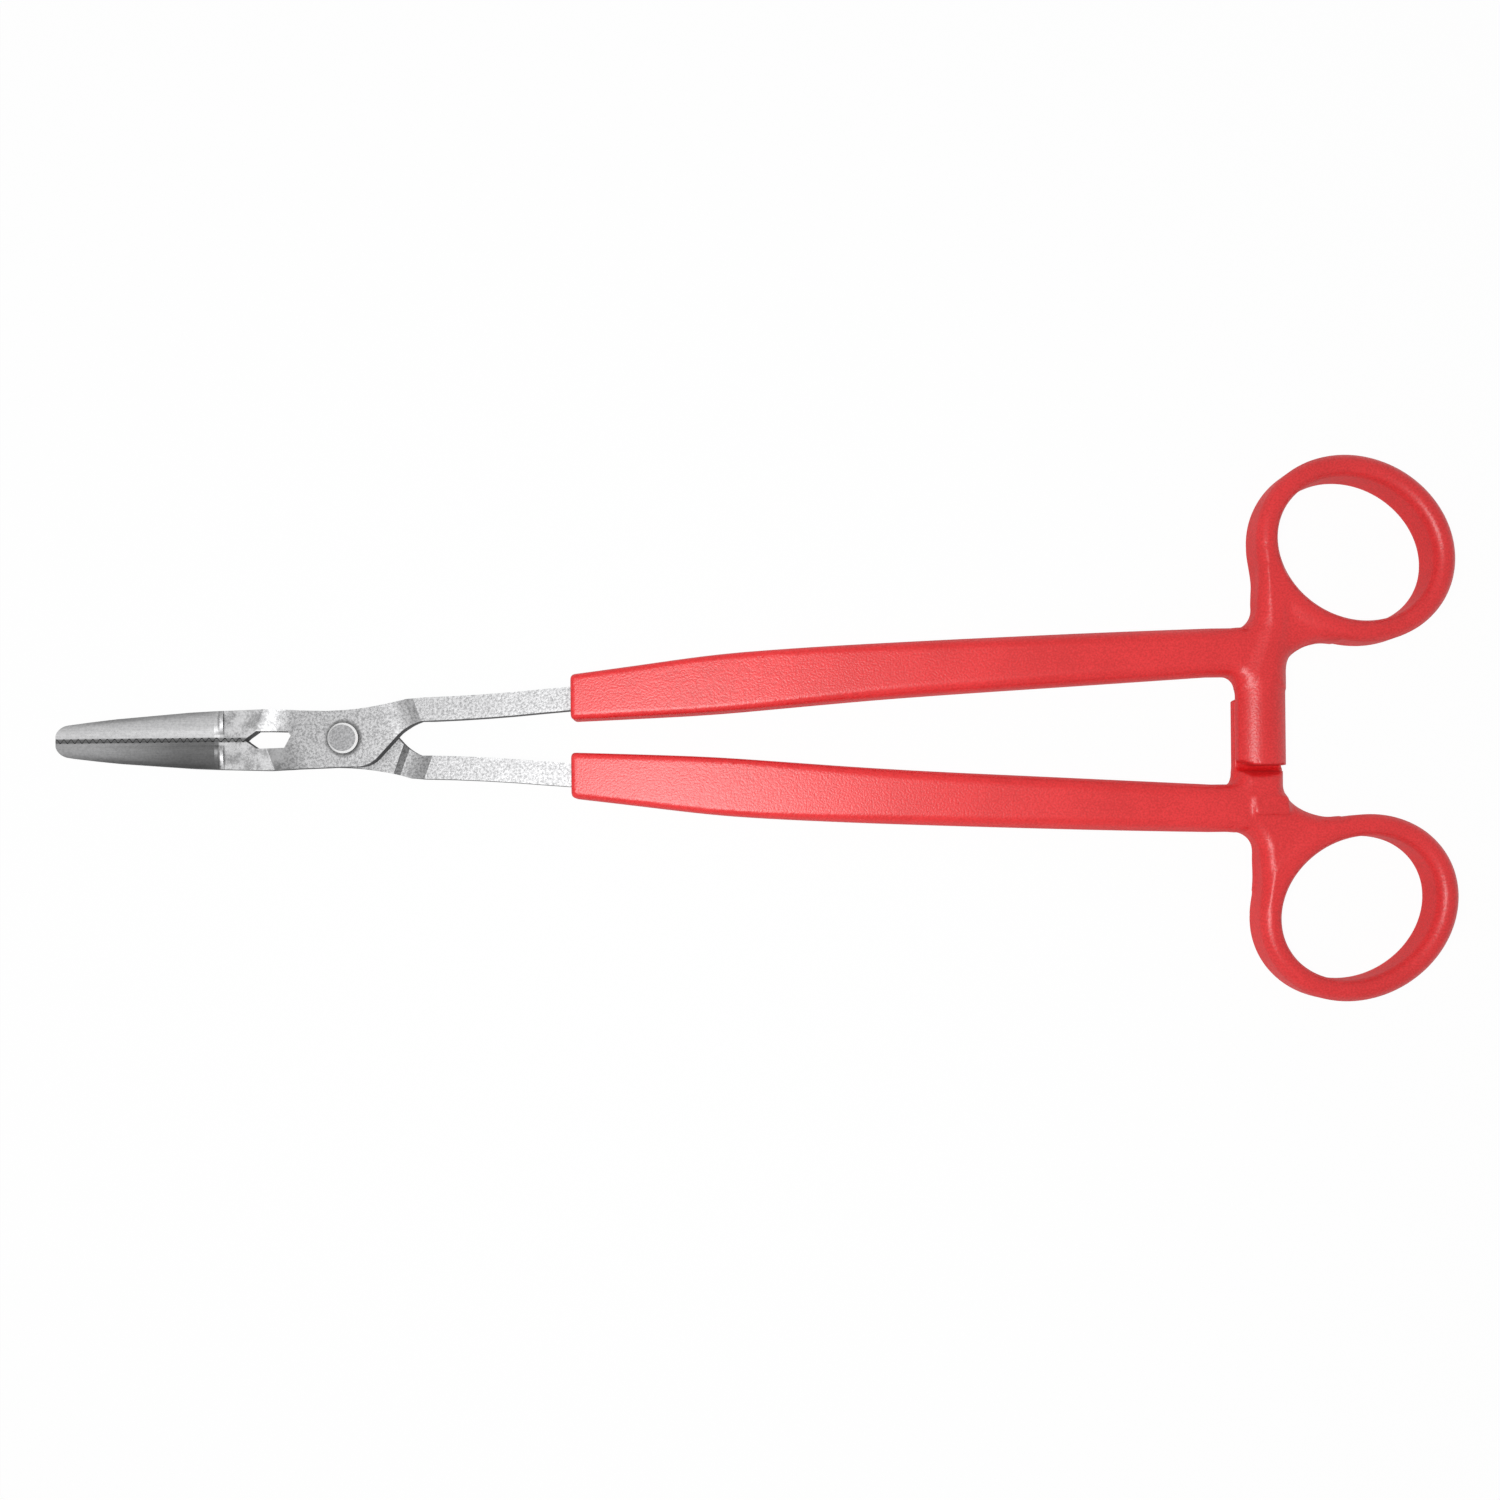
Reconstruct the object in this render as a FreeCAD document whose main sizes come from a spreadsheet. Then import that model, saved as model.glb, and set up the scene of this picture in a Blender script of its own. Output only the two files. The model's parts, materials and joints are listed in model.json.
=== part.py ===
import FreeCAD, Part
import os
import re
from math import radians

import Sketcher
from FreeCAD import Placement, Rotation, Vector

# A pair of long hemostatic forceps. Two pressed steel halves cross at one rivet. Each half runs from
# a serrated jaw through a flat pivot plate to a slim shank, and ends in a tang inside a moulded
# plastic handle with a finger ring and a ratchet arm. The halves are alike: the back one is the front
# one turned over about the long axis, with its teeth half a pitch further on.
#
# Everything is drawn from the rivet: X runs from the jaws to the rings, Y across, Z through the
# rivet, and Z = 0 is the plane in which both jaws and both shanks lie. The drawn front half has its
# jaw on the -Y side and its handle on the +Y side.

os.makedirs("parts", exist_ok=True)
doc = FreeCAD.newDocument("HemostaticForceps")

# A hair's breadth for telling edges apart.
SLACK = 0.01

# Sizes in millimetres and degrees. "at" is measured along X from the rivet, "offset" across from the
# middle line.
SIZES = [
    ("steel", 2.4, "thickness of the steel strip"),
    ("plate_gap", 0.1, "play between the two pivot plates"),
    ("bend_slant", 20, "angle of the bend lines across the strip"),
    ("plate_reach", 9.6, "rivet to the bends of the raised plate"),
    ("ramp_run", 3.4, "length of the ramp between plate and strip"),
    ("bend_round", 2.2, "length of the rounding beside each outer bend"),

    ("jaw_reach", 49.6, "rivet to the tip of the jaws"),
    ("nose_blunt", 0.9, "flat part of one jaw's tip"),
    ("nose_round", 2.2, "length of the tip's rounding"),
    ("nose_bow", 0.16, "rise of that rounding over its chord"),
    ("nose_width", 2.8, "width of one jaw behind the rounding"),
    ("cheek_bow", 0.013, "rise of the jaw's outer edge over its chord"),
    ("nose_depth", 2.6, "depth of the jaw at its tip"),
    ("nose_wall", 1.6, "height of the side wall at the tip"),
    ("jaw_at", 20.8, "rivet to the rear end of the thicker jaw"),
    ("jaw_width", 5.0, "width of one jaw at its rear end"),
    ("jaw_depth", 3.6, "depth of the jaw at its rear end"),
    ("jaw_wall", 2.5, "height of the side wall at the rear end"),
    ("jaw_step", 1.4, "length of the step down behind the jaw"),
    ("jaw_rim", 0.9, "flat rim beside the teeth"),
    ("jaw_lap", 0.1, "how far the jaw's loft reaches past the blade's outline and strip"),
    ("jaw_crown", 0.1, "rise of a jaw face's dome over its width"),

    ("tooth_pitch", 1.25, "pitch of the jaw teeth"),
    ("tooth_depth", 0.6, "depth of the jaw teeth"),
    ("tooth_flat", 0.25, "flat at the crest and root of a tooth"),
    ("bite_gap", 0.16, "play between the closed jaws' teeth"),
    ("teeth_at", 16.9, "rivet to the rear end of the teeth"),

    ("window_front_at", 15.3, "rivet to the front corner of the window"),
    ("window_rear_at", 10.2, "rivet to the rear corner of the window"),
    ("window_offset", 1.5, "half the height of the window"),
    ("keel_at", 13.0, "rivet to the widest point behind the jaw"),
    ("keel_width", 5.25, "width there"),

    ("plate_width", 9.6, "width of the pivot plate at the rivet"),
    ("shoulder_at", 4.0, "rivet to the front shoulder of the plate"),
    ("brow_at", 7.6, "rivet to the foot of the front shoulder"),
    ("brow_offset", 2.9, "offset of that foot"),
    ("shoulder_drop", 0.16, "how far the front shoulder lies below the plate's widest point"),
    ("shoulder_bow", 0.12, "rise of the front shoulder's edge over its chord"),
    ("hip_at", 1.5, "rivet to the rear shoulder of the plate"),
    ("hip_end_at", 6.0, "rivet to the foot of the rear shoulder"),
    ("hip_end_offset", 3.0, "offset of that foot"),
    ("hip_bow", 0.13, "rise of the rear shoulder's edge over its chord"),
    ("fork_at", 8.8, "rivet to the fork between the shanks"),
    ("fork_bow", 0.07, "rise of the edge behind the fork over its chord"),
    ("neck_at", 13.0, "rivet to the start of the shank"),
    ("neck_offset", 4.95, "offset of the shank's middle there"),
    ("neck_width", 4.0, "width of the shank there"),
    ("crown_back", 2.4, "length of the shank's outer edge before it meets the plate"),
    ("crown_drop", 0.24, "how far that edge falls over its length"),
    ("crown_bow", 0.031, "rise of the plate's outer edge over its chord"),
    ("shank_at", 33.8, "rivet to the straight part of the shank"),
    ("shank_offset", 6.17, "offset of the shank's middle there"),
    ("shank_width", 4.0, "width of the straight shank and the tang"),
    ("shank_bow", 0.009, "rise of the curved shank's edges over their chord"),
    ("tang_at", 68.0, "rivet to the round end of the tang"),
    ("tang_offset", 8.9, "offset of the tang's middle there"),
    ("anchor_at", 46.0, "rivet to the first anchor hole"),
    ("anchor_pitch", 9.0, "distance between anchor holes"),
    ("anchor_bore", 2.2, "diameter of an anchor hole"),
    ("anchor_count", 3, "number of anchor holes"),

    ("rivet_shank", 4.0, "diameter of the rivet between its heads"),
    ("rivet_head", 5.2, "diameter of a rivet head"),
    ("rivet_rise", 0.8, "height of a rivet head"),
    ("rivet_bevel", 0.35, "bevel round a rivet head"),
    ("rivet_play", 0.05, "radial play of the turning half on the rivet"),
    ("head_play", 0.05, "play under the front rivet head"),

    ("grip_front_at", 38.7, "rivet to the front end of the handle"),
    ("grip_front_inner", 2.5, "offset of the inner edge there"),
    ("grip_front_outer", 11.1, "offset of the outer edge there"),
    ("grip_front_thick", 6.0, "thickness there"),
    ("grip_front_corner", 1.0, "corner radius there"),
    ("grip_early_at", 68.0, "rivet to the second section"),
    ("grip_early_inner", 4.25, "offset of the inner edge there"),
    ("grip_early_outer", 14.55, "offset of the outer edge there"),
    ("grip_early_thick", 6.4, "thickness there"),
    ("grip_early_corner", 1.0, "corner radius there"),
    ("grip_middle_at", 97.0, "rivet to the middle section"),
    ("grip_middle_inner", 6.2, "offset of the inner edge there"),
    ("grip_middle_outer", 16.2, "offset of the outer edge there"),
    ("grip_middle_thick", 6.7, "thickness there"),
    ("grip_middle_corner", 1.8, "corner radius there"),
    ("grip_late_at", 123.0, "rivet to the fourth section"),
    ("grip_late_inner", 7.85, "offset of the inner edge there"),
    ("grip_late_outer", 17.4, "offset of the outer edge there"),
    ("grip_late_thick", 6.8, "thickness there"),
    ("grip_late_corner", 2.2, "corner radius there"),
    ("grip_rear_at", 148.0, "rivet to the root of ring and ratchet arm"),
    ("grip_rear_inner", 9.3, "offset of the inner edge there"),
    ("grip_rear_outer", 18.25, "offset of the outer edge there"),
    ("grip_rear_thick", 6.8, "thickness there"),
    ("grip_rear_corner", 2.4, "corner radius there"),
    ("grip_end_round", 0.7, "rounding of the handle's front end"),

    ("ring_at", 172.8, "rivet to the middle of the finger ring"),
    ("ring_offset", 31.3, "offset of the middle of the finger ring"),
    ("ring_short", 24.0, "finger opening along its short axis"),
    ("ring_stretch", 1.7, "how much longer the opening is along its long axis"),
    ("ring_slant", 148, "angle from X to the long axis of the finger opening"),
    ("ring_rim", 4.9, "width of the ring's rim"),
    ("ring_depth", 8.0, "depth of the ring's rim"),
    ("ring_corner", 2.2, "corner radius of the rim"),
    ("root_round", 2.2, "fillet between handle and ratchet arm"),
    ("root_margin", 0.3, "how much wider the root is than the ratchet arm on each side"),
    ("web_rise", 1.5, "straight stretch of the root below the ring's fillet"),
    ("web_tuck", 17, "angle from the ring's inner side to the root inside its rim"),
    ("web_end", 20, "angle from the ring's inner side to the end of the fillet"),
    ("web_bow", 0.19, "rise of that fillet over its chord"),
    ("stem_round", 3.4, "fillet between handle and ring"),
    ("stem_lean", 0.8, "how far the stem's outer edge leans in below the ring"),

    ("arm_at", 156.3, "rivet to the middle of the ratchet arm"),
    ("arm_width", 8.1, "width of the ratchet arm"),
    ("arm_end", 6.1, "how far the arm reaches past the middle line"),
    ("arm_gap", 0.3, "play between the two ratchet arms"),
    ("arm_edge", 0.75, "height of the arm's flat edges"),
    ("arm_bevel_long", 2.2, "bevel of the arm's end, along X"),
    ("arm_bevel_short", 0.9, "bevel of the arm's end, along Y"),
    ("ridge_offset", 27.0, "offset where the arm's ridge runs out in the ring"),
    ("ridge_width", 4.4, "width of the ridge there"),

    ("catch_pitch", 2.2, "pitch of the ratchet teeth"),
    ("catch_depth", 1.1, "depth of the ratchet teeth"),
    ("catch_count", 4, "number of ratchet teeth on one arm"),
    ("catch_margin", 0.9, "plain end of the arm before the first tooth"),

    ("stop_at", 157.6, "rivet to the middle of the stop"),
    ("stop_length", 5.6, "length of the stop"),
    ("stop_offset", 11.7, "offset of the stop's foot"),
    ("stop_ramp", 2.1, "length of the stop's ramp"),
    ("stop_crest", 0.6, "flat on top of the stop"),
]

sheet = doc.addObject("Spreadsheet::Sheet", "Sizes")
for row, (alias, value, meaning) in enumerate(SIZES, start=1):
    sheet.set(f"A{row}", meaning)
    sheet.set(f"B{row}", str(value))
    sheet.setAlias(f"B{row}", alias)
doc.recompute()
NAMES = {alias for alias, value, meaning in SIZES}


def formula(text):
    """Turn a formula of size names into an expression on the sheet."""
    return re.sub(r"[a-z_]+", lambda word: named(word.group()), str(text))


def named(word):
    """Point a size name at its cell and leave any other word, such as cos, as it is."""
    return "Sizes." + word if word in NAMES else word


def number(text):
    """Work a formula out."""
    return float(sheet.evalExpression(formula(text)))


def bind(item, prop, text):
    """Tie a property of an object to a formula."""
    item.setExpression(prop, formula(text))


def new_sketch(body, name, role, offset=(0, 0, 0), slant=None):
    """Add a sketch on one of the body's own planes, moved by an offset in the sketch's axes."""
    sketch = body.newObject("Sketcher::SketchObject", name)
    plane = next(item for item in body.Origin.OriginFeatures if item.Role == role)
    sketch.AttachmentSupport = (plane, [""])
    sketch.MapMode = "FlatFace"
    if slant is not None:
        sketch.AttachmentOffset = Placement(Vector(), Rotation(Vector(0, 1, 0), number(slant)))
        bind(sketch, ".AttachmentOffset.Rotation.Angle", slant)
    for axis, distance in zip("xyz", offset):
        if distance:
            bind(sketch, f".AttachmentOffset.Base.{axis}", distance)
    return sketch


def fix_point(sketch, geometry, end, corner):
    """Hold a point of the sketch at two formulas."""
    for kind, text in zip(("DistanceX", "DistanceY"), corner):
        index = sketch.addConstraint(Sketcher.Constraint(kind, -1, 1, geometry, end, number(text)))
        bind(sketch, f"Constraints[{index}]", text)


def draw(sketch, path):
    """Draw a closed outline of straight sides and arcs.

    The path lists corners as pairs of formulas. A single formula between two corners bends the side
    between them: it gives the arc's rise over its chord, positive to the left of the direction drawn.
    """
    corners = []
    bows = {}
    for step in path:
        if isinstance(step, tuple):
            corners.append(step)
        else:
            bows[len(corners) - 1] = step
    sides = []
    for index, first in enumerate(corners):
        last = corners[(index + 1) % len(corners)]
        start = Vector(number(first[0]), number(first[1]), 0)
        end = Vector(number(last[0]), number(last[1]), 0)
        if index not in bows:
            sides.append((sketch.addGeometry(Part.LineSegment(start, end)), 1, 2))
            continue
        bow = bows[index]
        middle = (
            f"(({first[0]}) + ({last[0]})) / 2 - ({bow}) * (({last[1]}) - ({first[1]}))",
            f"(({first[1]}) + ({last[1]})) / 2 + ({bow}) * (({last[0]}) - ({first[0]}))",
        )
        via = Vector(number(middle[0]), number(middle[1]), 0)
        clockwise = number(bow) > 0
        arc = Part.Arc(end, via, start) if clockwise else Part.Arc(start, via, end)
        geometry = sketch.addGeometry(arc)
        sides.append((geometry, 2, 1) if clockwise else (geometry, 1, 2))
        guide = sketch.addGeometry(Part.Point(via), True)
        fix_point(sketch, guide, 1, middle)
        sketch.addConstraint(Sketcher.Constraint("PointOnObject", guide, 1, geometry))
    for index, corner in enumerate(corners):
        geometry, start, end = sides[index]
        following = sides[(index + 1) % len(sides)]
        fix_point(sketch, geometry, start, corner)
        sketch.addConstraint(
            Sketcher.Constraint("Coincident", geometry, end, following[0], following[1]))


def draw_circle(sketch, centre, radius):
    """Draw a circle with its middle at two formulas."""
    middle = Vector(number(centre[0]), number(centre[1]), 0)
    circle = sketch.addGeometry(Part.Circle(middle, Vector(0, 0, 1), number(radius)))
    fix_point(sketch, circle, 3, centre)
    index = sketch.addConstraint(Sketcher.Constraint("Radius", circle, number(radius)))
    bind(sketch, f"Constraints[{index}]", radius)


# Rises over their chords of a quarter and a half circle.
QUARTER = "tan(22.5) / 2"
HALF = "0.5"

# The finger opening along its long axis, and how far the outside of the ring reaches along X.
RING_LONG = "(ring_short + ring_stretch)"
RING_REACH = (f"sqrt((({RING_LONG} / 2 + ring_rim) * cos(ring_slant)) ^ 2"
              " + ((ring_short / 2 + ring_rim) * sin(ring_slant)) ^ 2)")


def draw_oval(sketch, centre, long_radius, short_radius, slant):
    """Draw an ellipse with its middle, radii and the angle of its long axis at formulas."""
    middle = Vector(number(centre[0]), number(centre[1]), 0)
    along = Rotation(Vector(0, 0, 1), number(slant)).multVec(Vector(1, 0, 0))
    across = Rotation(Vector(0, 0, 1), 90).multVec(along)
    oval = sketch.addGeometry(Part.Ellipse(
        middle + along * number(long_radius), middle + across * number(short_radius), middle))
    fix_point(sketch, oval, 3, centre)
    sketch.exposeInternalGeometry(oval)
    long_axis, short_axis = oval + 1, oval + 2
    for axis, radius in ((long_axis, long_radius), (short_axis, short_radius)):
        index = sketch.addConstraint(Sketcher.Constraint("Distance", axis, 2 * number(radius)))
        bind(sketch, f"Constraints[{index}]", f"2 * ({radius})")
    backwards = f"{slant} - 180"
    angle = Sketcher.Constraint("Angle", long_axis, radians(number(backwards)))
    bind(sketch, f"Constraints[{sketch.addConstraint(angle)}]", backwards)


def rounded_box(low, high, corner):
    """Give the path of a box with rounded corners, from its low and high corners."""
    (left, bottom), (right, top) = low, high
    return [
        (f"{left} + {corner}", bottom), (f"{right} - {corner}", bottom), f"-{QUARTER}",
        (right, f"{bottom} + {corner}"), (right, f"{top} - {corner}"), f"-{QUARTER}",
        (f"{right} - {corner}", top), (f"{left} + {corner}", top), f"-{QUARTER}",
        (left, f"{top} - {corner}"), (left, f"{bottom} + {corner}"), f"-{QUARTER}",
    ]


def new_body(name, flipped):
    """Start a body whose rivet axis stands where the finished part has it."""
    body = doc.addObject("PartDesign::Body", name)
    if flipped:
        body.Placement = Placement(Vector(), Rotation(Vector(1, 0, 0), 180))
    bind(body, ".Placement.Base.x", f"(jaw_reach - ring_at - {RING_REACH}) / 2")
    bind(body, ".Placement.Base.z", "ring_depth / 2")
    return body


def feature(body, kind, name, sketch, **settings):
    """Add a feature drawn from a sketch to a body and work it out."""
    item = body.newObject("PartDesign::" + kind, name)
    item.Profile = sketch
    for prop, value in settings.items():
        if isinstance(value, str) and prop not in ("Type", "SideType"):
            bind(item, prop, value)
        else:
            setattr(item, prop, value)
    sketch.Visibility = False
    doc.recompute()
    return item


def cut_feature(body, kind, name, sketch, **settings):
    """Add a cutting feature and make sure that it removes something."""
    before = body.Shape.Volume
    item = feature(body, kind, name, sketch, **settings)
    if body.Shape.Volume >= before:
        raise RuntimeError(name + " cuts nothing")
    return item


def repeat(body, name, item, sketch, length, count, backwards=False):
    """Repeat a feature in a row along its sketch's first axis."""
    pattern = body.newObject("PartDesign::LinearPattern", name)
    pattern.Originals = [item]
    pattern.Direction = (sketch, ["H_Axis"])
    pattern.Reversed = backwards
    bind(pattern, "Length", length)
    bind(pattern, "Occurrences", count)
    body.Tip = pattern
    doc.recompute()
    return pattern


# The steel blade. Its outline is pressed from strip in one piece: jaw, pivot plate, shank and tang.
CREST = "(tooth_depth - bite_gap) / 2"
ROOT = "(-tooth_depth - bite_gap) / 2"
TANG_SLOPE = "(tang_offset - shank_offset) / (tang_at - shank_at)"

# A depth that takes in the whole blade with its bends.
THROUGH = "jaw_depth + 4 * steel"


def blade_outline():
    """Give the outline of the front half's blade, anticlockwise from the top of the jaw's tip."""
    return [
        ("-jaw_reach", CREST),
        ("-jaw_reach", "-nose_blunt"), "-nose_bow",
        ("-jaw_reach + nose_round", "-nose_width"), "-cheek_bow",
        ("-jaw_at", "-jaw_width"),
        ("-keel_at", "-keel_width"),
        ("hip_at", "-plate_width / 2"), "-hip_bow",
        ("hip_end_at", "-hip_end_offset"),
        ("fork_at", "0"), "fork_bow",
        ("neck_at", "neck_offset - neck_width / 2"), "-shank_bow",
        ("shank_at", "shank_offset - shank_width / 2"),
        ("tang_at", "tang_offset - shank_width / 2"), f"-{HALF}",
        ("tang_at", "tang_offset + shank_width / 2"),
        ("shank_at", "shank_offset + shank_width / 2"), "shank_bow",
        ("neck_at", "neck_offset + neck_width / 2"),
        ("neck_at - crown_back", "neck_offset + neck_width / 2 - crown_drop"), "crown_bow",
        ("0", "plate_width / 2"),
        ("-shoulder_at", "plate_width / 2 - shoulder_drop"), "-shoulder_bow",
        ("-brow_at", "brow_offset"),
        ("-window_rear_at", "-window_offset"),
        ("-window_front_at", "-window_offset"),
        ("-teeth_at", ROOT),
        ("-teeth_at - tooth_pitch / 2", CREST),
    ]


def strip_profile():
    """Give the side profile of the bent strip: flat, up a ramp to the raised plate, down again.

    The ramp leans, so its two faces meet the flats at points shifted by the lean.
    """
    half = "steel / 2"
    rise = "(steel + plate_gap) / 2"
    angle = f"atan({rise} / ramp_run)"
    lean = f"{half} * tan({angle} / 2)"
    foot = "plate_reach + ramp_run"
    front = "-jaw_at - jaw_step - jaw_rim"
    rear = "tang_at + 2 * shank_width"
    bow = f"tan({angle} / 4) / 2"
    along = f"bend_round * cos({angle})"
    down = f"bend_round * sin({angle})"
    return [
        (front, f"-{half}"),
        (f"-({foot}) + {lean} - bend_round", f"-{half}"), bow,
        (f"-({foot}) + {lean} + {along}", f"-{half} + {down}"),
        (f"-plate_reach + {lean}", f"{rise} - {half}"),
        (f"plate_reach - {lean}", f"{rise} - {half}"),
        (f"{foot} - {lean} - {along}", f"-{half} + {down}"), bow,
        (f"{foot} - {lean} + bend_round", f"-{half}"),
        (rear, f"-{half}"),
        (rear, half),
        (f"{foot} + {lean}", half),
        (f"plate_reach + {lean} + {along}", f"{rise} + {half} - {down}"), f"-{bow}",
        (f"plate_reach + {lean} - bend_round", f"{rise} + {half}"),
        (f"-plate_reach - {lean} + bend_round", f"{rise} + {half}"), f"-{bow}",
        (f"-plate_reach - {lean} - {along}", f"{rise} + {half} - {down}"),
        (f"-({foot}) - {lean}", half),
        (front, half),
    ]


def jaw_section(width, depth, wall):
    """Give a section of the jaw: flat rim beside the teeth, domed faces, upright wall."""
    return [
        ("tooth_depth", f"-({depth}) / 2"), ("tooth_depth", f"({depth}) / 2"),
        ("-jaw_rim", f"({depth}) / 2"), "-jaw_crown",
        (f"-({width})", f"({wall}) / 2"), (f"-({width})", f"-({wall}) / 2"), "-jaw_crown",
        ("-jaw_rim", f"-({depth}) / 2"),
    ]


def make_blade(side, flipped, phase, bore):
    """Make a blade: its outline, common with the bent strip and the barrelled jaw."""
    plan = new_body(side + "_blade_outline", flipped)
    outline = new_sketch(plan, side + "_blade_plan", "XY_Plane")
    draw(outline, blade_outline())
    feature(plan, "Pad", side + "_blade_plate", outline,
            Length=THROUGH, SideType="Symmetric")

    holes = new_sketch(plan, side + "_blade_holes", "XY_Plane")
    draw_circle(holes, ("0", "0"), bore)
    for index in range(int(number("anchor_count"))):
        at = f"anchor_at + {index} * anchor_pitch"
        offset = f"shank_offset + ({at} - shank_at) * {TANG_SLOPE}"
        draw_circle(holes, (at, offset), "anchor_bore / 2")
    cut_feature(plan, "Pocket", side + "_blade_bores", holes,
                Length=f"2 * ({THROUGH})", SideType="Symmetric")

    # The teeth run across the jaw's whole bite. The last notch ends at the rear of the bite.
    first = f"-teeth_at - tooth_pitch * (0.5 + {phase})"
    notch = new_sketch(plan, side + "_tooth_outline", "XY_Plane")
    draw(notch, [
        (f"{first} - tooth_pitch / 2 + tooth_flat / 2", CREST),
        (f"{first} - tooth_flat / 2", ROOT),
        (f"{first} + tooth_flat / 2", ROOT),
        (f"{first} + tooth_pitch / 2 - tooth_flat / 2", CREST),
    ])
    tooth = cut_feature(plan, "Pocket", side + "_tooth_notch", notch,
                        Length=f"2 * ({THROUGH})", SideType="Symmetric")
    count = "floor((jaw_reach - teeth_at) / tooth_pitch)"
    repeat(plan, side + "_teeth", tooth, notch, f"tooth_pitch * ({count} - 1)", count, True)

    strip = new_body(side + "_blade_strip", flipped)
    profile = new_sketch(strip, side + "_strip_profile", "XZ_Plane", slant="bend_slant")
    draw(profile, strip_profile())
    feature(strip, "Pad", side + "_strip_bends", profile,
            Length="2 * tang_at", SideType="Symmetric")

    barrel = new_body(side + "_blade_barrel", flipped)
    stations = (
        ("-jaw_reach - nose_blunt", "nose_width + jaw_lap", "nose_depth", "nose_wall"),
        ("-jaw_at - jaw_step", "jaw_width + jaw_lap", "jaw_depth", "jaw_wall"),
        ("-jaw_at", "jaw_width + jaw_lap", "steel + jaw_lap", "steel + jaw_lap"),
    )
    sections = []
    for index, (at, width, depth, wall) in enumerate(stations, start=1):
        section = new_sketch(barrel, f"{side}_jaw_section_{index}", "YZ_Plane", (0, 0, at))
        draw(section, jaw_section(width, depth, wall))
        sections.append(section)
    doc.recompute()
    feature(barrel, "AdditiveLoft", side + "_jaw_barrel", sections[0],
            Sections=sections[1:], Ruled=True)

    form = doc.addObject("Part::Fuse", side + "_blade_form")
    form.Base = strip
    form.Tool = barrel
    blade = doc.addObject("Part::Common", side + "_blade")
    blade.Base = plan
    blade.Tool = form
    doc.recompute()
    return blade


def round_edges(body, name, axis, level, radius, keep):
    """Round the edges that lie at plus or minus a level and pass a test of their middle point."""
    base = body.Tip
    names = []
    for index, edge in enumerate(base.Shape.Edges, start=1):
        middle = edge.valueAt((edge.FirstParameter + edge.LastParameter) / 2)
        points = [middle] + [vertex.Point for vertex in edge.Vertexes]
        level_all = all(abs(abs(getattr(point, axis)) - number(level)) < 1e-6 for point in points)
        if level_all and keep(middle):
            names.append(f"Edge{index}")
    rounding = body.newObject("PartDesign::Fillet", name)
    rounding.Base = (base, names)
    bind(rounding, "Radius", radius)
    doc.recompute()


def ring_point(turn, beyond):
    """Give the point of the ring in a direction from its middle, this far outside its opening."""
    along = f"({RING_LONG} / 2 + {beyond}) * cos({turn} - ring_slant)"
    across = f"(ring_short / 2 + {beyond}) * sin({turn} - ring_slant)"
    return (
        f"ring_at + {along} * cos(ring_slant) - {across} * sin(ring_slant)",
        f"ring_offset + {along} * sin(ring_slant) + {across} * cos(ring_slant)",
    )


def root_outline():
    """Give the outline of the root that joins handle, ratchet arm and ring."""
    arm_front = "arm_at - arm_width / 2 - root_margin"
    arm_rear = "arm_at + arm_width / 2 + root_margin"
    foot = "grip_rear_inner - root_round"
    stem = ring_point("180", "ring_rim")[0]
    return [
        ("grip_rear_at", "grip_rear_inner"),
        (f"{arm_front} - root_round", "grip_rear_inner"), QUARTER,
        (arm_front, foot),
        (arm_rear, foot),
        (arm_rear, f"{foot} + web_rise"), "web_bow",
        ring_point("270 - web_end", "ring_rim"),
        ring_point("270 - web_tuck", "ring_rim / 2"), "tan((90 - web_tuck) / 4) / 2",
        ring_point("180", "ring_rim / 2"),
        ring_point("180", "ring_rim"),
        (f"{stem} + stem_lean", "grip_rear_outer + stem_round"), QUARTER,
        (f"{stem} + stem_lean - stem_round", "grip_rear_outer"),
        ("grip_rear_at", "grip_rear_outer"),
    ]


def arm_section(middle, width, top):
    """Give a D-shaped section of the ratchet arm: flat inner face, low edges, round back."""
    low = "arm_gap / 2"
    high = "arm_gap / 2 + arm_edge"
    left = f"{middle} - ({width}) / 2"
    right = f"{middle} + ({width}) / 2"
    return [
        (left, low), (right, low), (right, high),
        f"-({top} - arm_gap / 2 - arm_edge) / ({width})",
        (left, high),
    ]


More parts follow.
